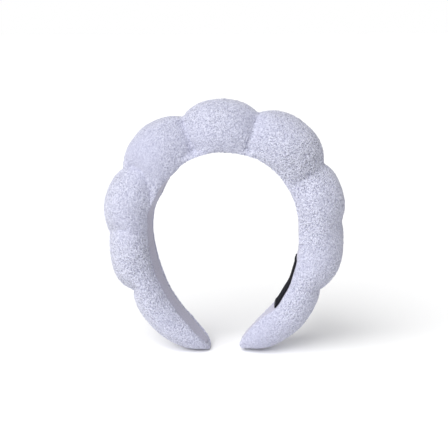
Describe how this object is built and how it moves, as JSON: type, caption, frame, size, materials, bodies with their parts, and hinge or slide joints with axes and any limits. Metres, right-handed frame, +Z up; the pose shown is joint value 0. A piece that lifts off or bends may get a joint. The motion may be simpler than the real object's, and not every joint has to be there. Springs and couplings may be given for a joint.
{
  "type": "spa headband",
  "caption": "Padded spa headband: a sprung hoop under a row of sponge puffs in one gathered lavender terry cover, with a plain dark label inside one arm.",
  "frame": {"origin": "middle of the inner face at the crown, where the headband sits on the head", "axes": "+Z up, away from the head; tips down; +X to the right arm, the arm with the label; -Y the front; hoop in the XZ plane"},
  "size_m": [0.1791, 0.0448, 0.1921],
  "materials": {
    "terry": "looped terry towelling, matt, pale lavender",
    "lining": "shorter looped terry, matt, pale lavender",
    "sewing_thread": "spun polyester thread, matt, lavender",
    "sponge": "open-cell polyurethane sponge, off-white",
    "hoop_plastic": "natural polypropylene, satin",
    "label": "damask-woven polyester, near-black, blank",
    "label_thread": "spun polyester thread, near-black"
  },
  "bodies": {
    "crown": {"hoop_band": "hoop_plastic", "terry_cover": "terry", "inner_lining": "lining", "edge_seam_front": "sewing_thread", "edge_seam_back": "sewing_thread", "sponge_crown": "sponge", "gather_thread_left_1": "sewing_thread", "gather_thread_right_1": "sewing_thread"},
    "left_arm": {"sponge_left_1": "sponge", "sponge_left_2": "sponge", "sponge_left_3": "sponge", "sponge_left_4": "sponge", "gather_thread_left_2": "sewing_thread", "gather_thread_left_3": "sewing_thread", "gather_thread_left_4": "sewing_thread"},
    "right_arm": {"sponge_right_1": "sponge", "sponge_right_2": "sponge", "sponge_right_3": "sponge", "sponge_right_4": "sponge", "gather_thread_right_2": "sewing_thread", "gather_thread_right_3": "sewing_thread", "gather_thread_right_4": "sewing_thread", "woven_label": "label", "label_stitch_upper": "label_thread", "label_stitch_lower": "label_thread"}
  },
  "joints": [
    {"name": "left_arm_flex", "type": "hinge", "parent": "crown", "child": "left_arm", "pos_m": [-0.02085, 0, -0.00168], "axis": [0, 1, 0], "range_deg": [-4, 18], "stiffness_Nm_per_rad": 1.3, "deforming": ["hoop_band", "terry_cover", "inner_lining", "edge_seam_front", "edge_seam_back", "gather_thread_left_1"]},
    {"name": "right_arm_flex", "type": "hinge", "parent": "crown", "child": "right_arm", "pos_m": [0.01692, 0, -0.00031], "axis": [0, -1, 0], "range_deg": [-4, 18], "stiffness_Nm_per_rad": 1.3, "deforming": ["hoop_band", "terry_cover", "inner_lining", "edge_seam_front", "edge_seam_back", "gather_thread_right_1"]}
  ]
}
